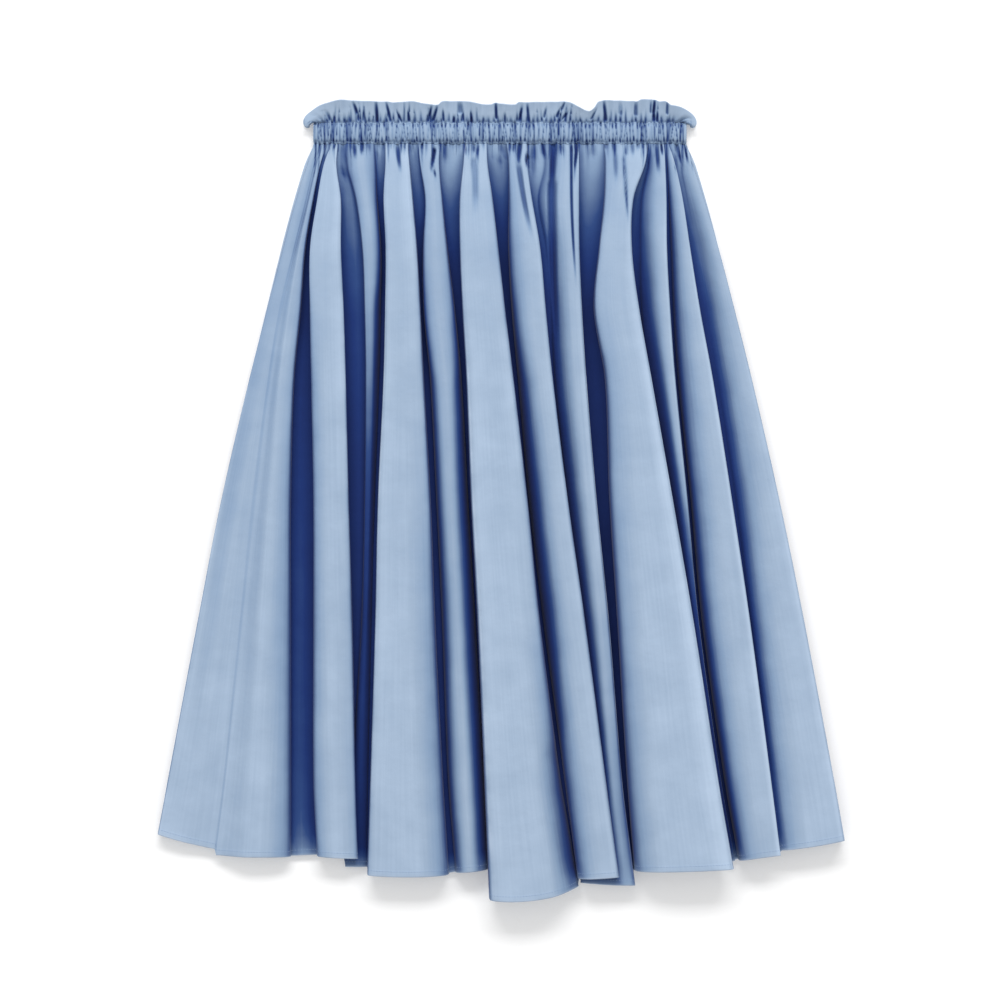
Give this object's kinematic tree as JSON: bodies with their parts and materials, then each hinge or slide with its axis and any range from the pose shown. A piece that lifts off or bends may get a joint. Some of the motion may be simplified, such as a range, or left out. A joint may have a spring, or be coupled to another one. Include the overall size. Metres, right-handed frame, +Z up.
{
  "type": "skirt",
  "caption": "Gathered cotton midi skirt with a shirred elastic waist and a ruffled heading, laid flat with its front up and its folds spread.",
  "frame": {"origin": "on the surface that the skirt lies on, under the middle of its box", "axes": "+Z up from the surface, +Y towards the waist, +X to the right of someone who looks down at the front with the waist away from them"},
  "size_m": [0.6187, 0.7176, 0.0362],
  "materials": {
    "poplin": "plain light-blue cotton poplin, matt"
  },
  "bodies": {
    "root": {"front_panel": "poplin", "back_panel": "poplin", "front_casing": "poplin", "back_casing": "poplin", "front_frill": "poplin", "back_frill": "poplin"}
  },
  "joints": []
}
